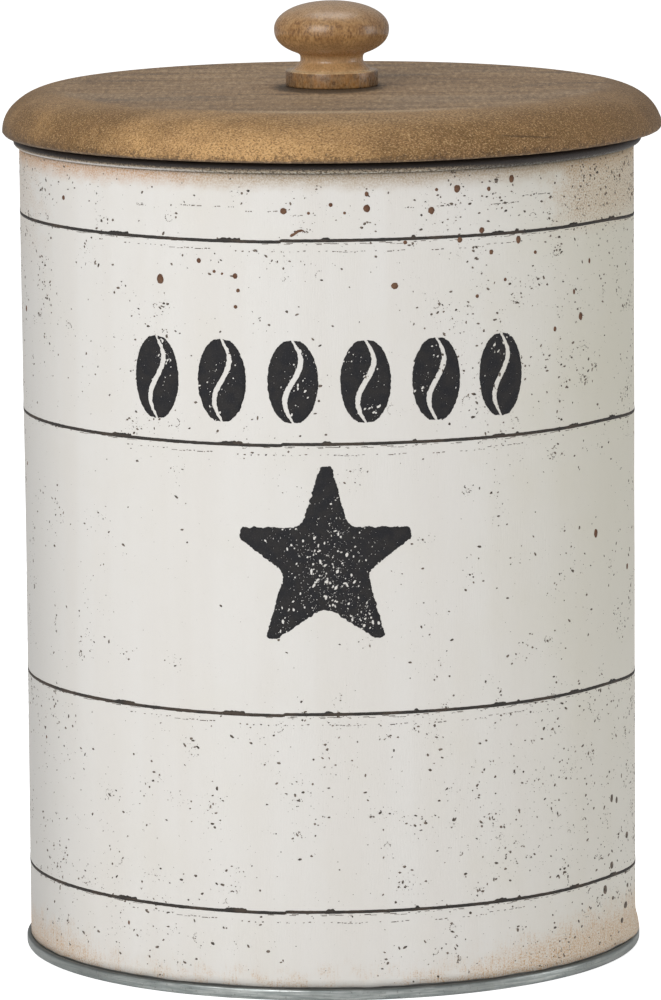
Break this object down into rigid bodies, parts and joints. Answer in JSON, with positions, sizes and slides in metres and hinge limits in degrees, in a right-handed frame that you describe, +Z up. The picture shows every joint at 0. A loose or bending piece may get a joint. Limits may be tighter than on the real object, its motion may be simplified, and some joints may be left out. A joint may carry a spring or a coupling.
{
  "type": "storage tin",
  "caption": "Tall round storage tin with a printed sleeve, curled rim, double-seamed foot and a lift-off round wooden plug lid with a turned knob.",
  "frame": {"origin": "centre of the foot, on the surface the tin stands on", "axes": "+Z up along the tin's axis; the printed front faces -Y; +X is to the right of someone facing the front"},
  "size_m": [0.1658, 0.1658, 0.2392],
  "materials": {
    "tinplate": "dull tinplate, darkened and spotted at the curled rim",
    "printed_paper": "matte off-white print with charcoal marks, aged with rust spots and specks",
    "dark_wire": "plain drawn steel wire",
    "galvanised_sheet": "galvanised, weathered grey-green, satin",
    "lid_wood": "weathered grey-brown softwood, oiled, rubbed golden at the edge",
    "plug_wood": "plain sanded softwood",
    "gasket_silicone": "translucent white silicone",
    "knob_wood": "turned, stained orange-brown, soft satin varnish",
    "screw_steel": "zinc plated",
    "washer_steel": "zinc plated"
  },
  "bodies": {
    "tin": {"shell": "tinplate", "printed_sleeve": "printed_paper", "rim_wire": "dark_wire", "base_end": "galvanised_sheet"},
    "seal": {"lid_gasket": "gasket_silicone"},
    "lid": {"lid_panel": "lid_wood", "lid_plug": "plug_wood", "knob": "knob_wood", "knob_screw": "screw_steel", "knob_washer": "washer_steel"}
  },
  "joints": [
    {"name": "lid_lift", "type": "slide", "parent": "tin", "child": "seal", "axis": [0, 0, 1], "range_m": [0, 0.12]},
    {"name": "lid_turn", "type": "hinge", "parent": "seal", "child": "lid", "pos_m": [0, 0, 0.2066], "axis": [0, 0, 1], "continuous": true}
  ]
}
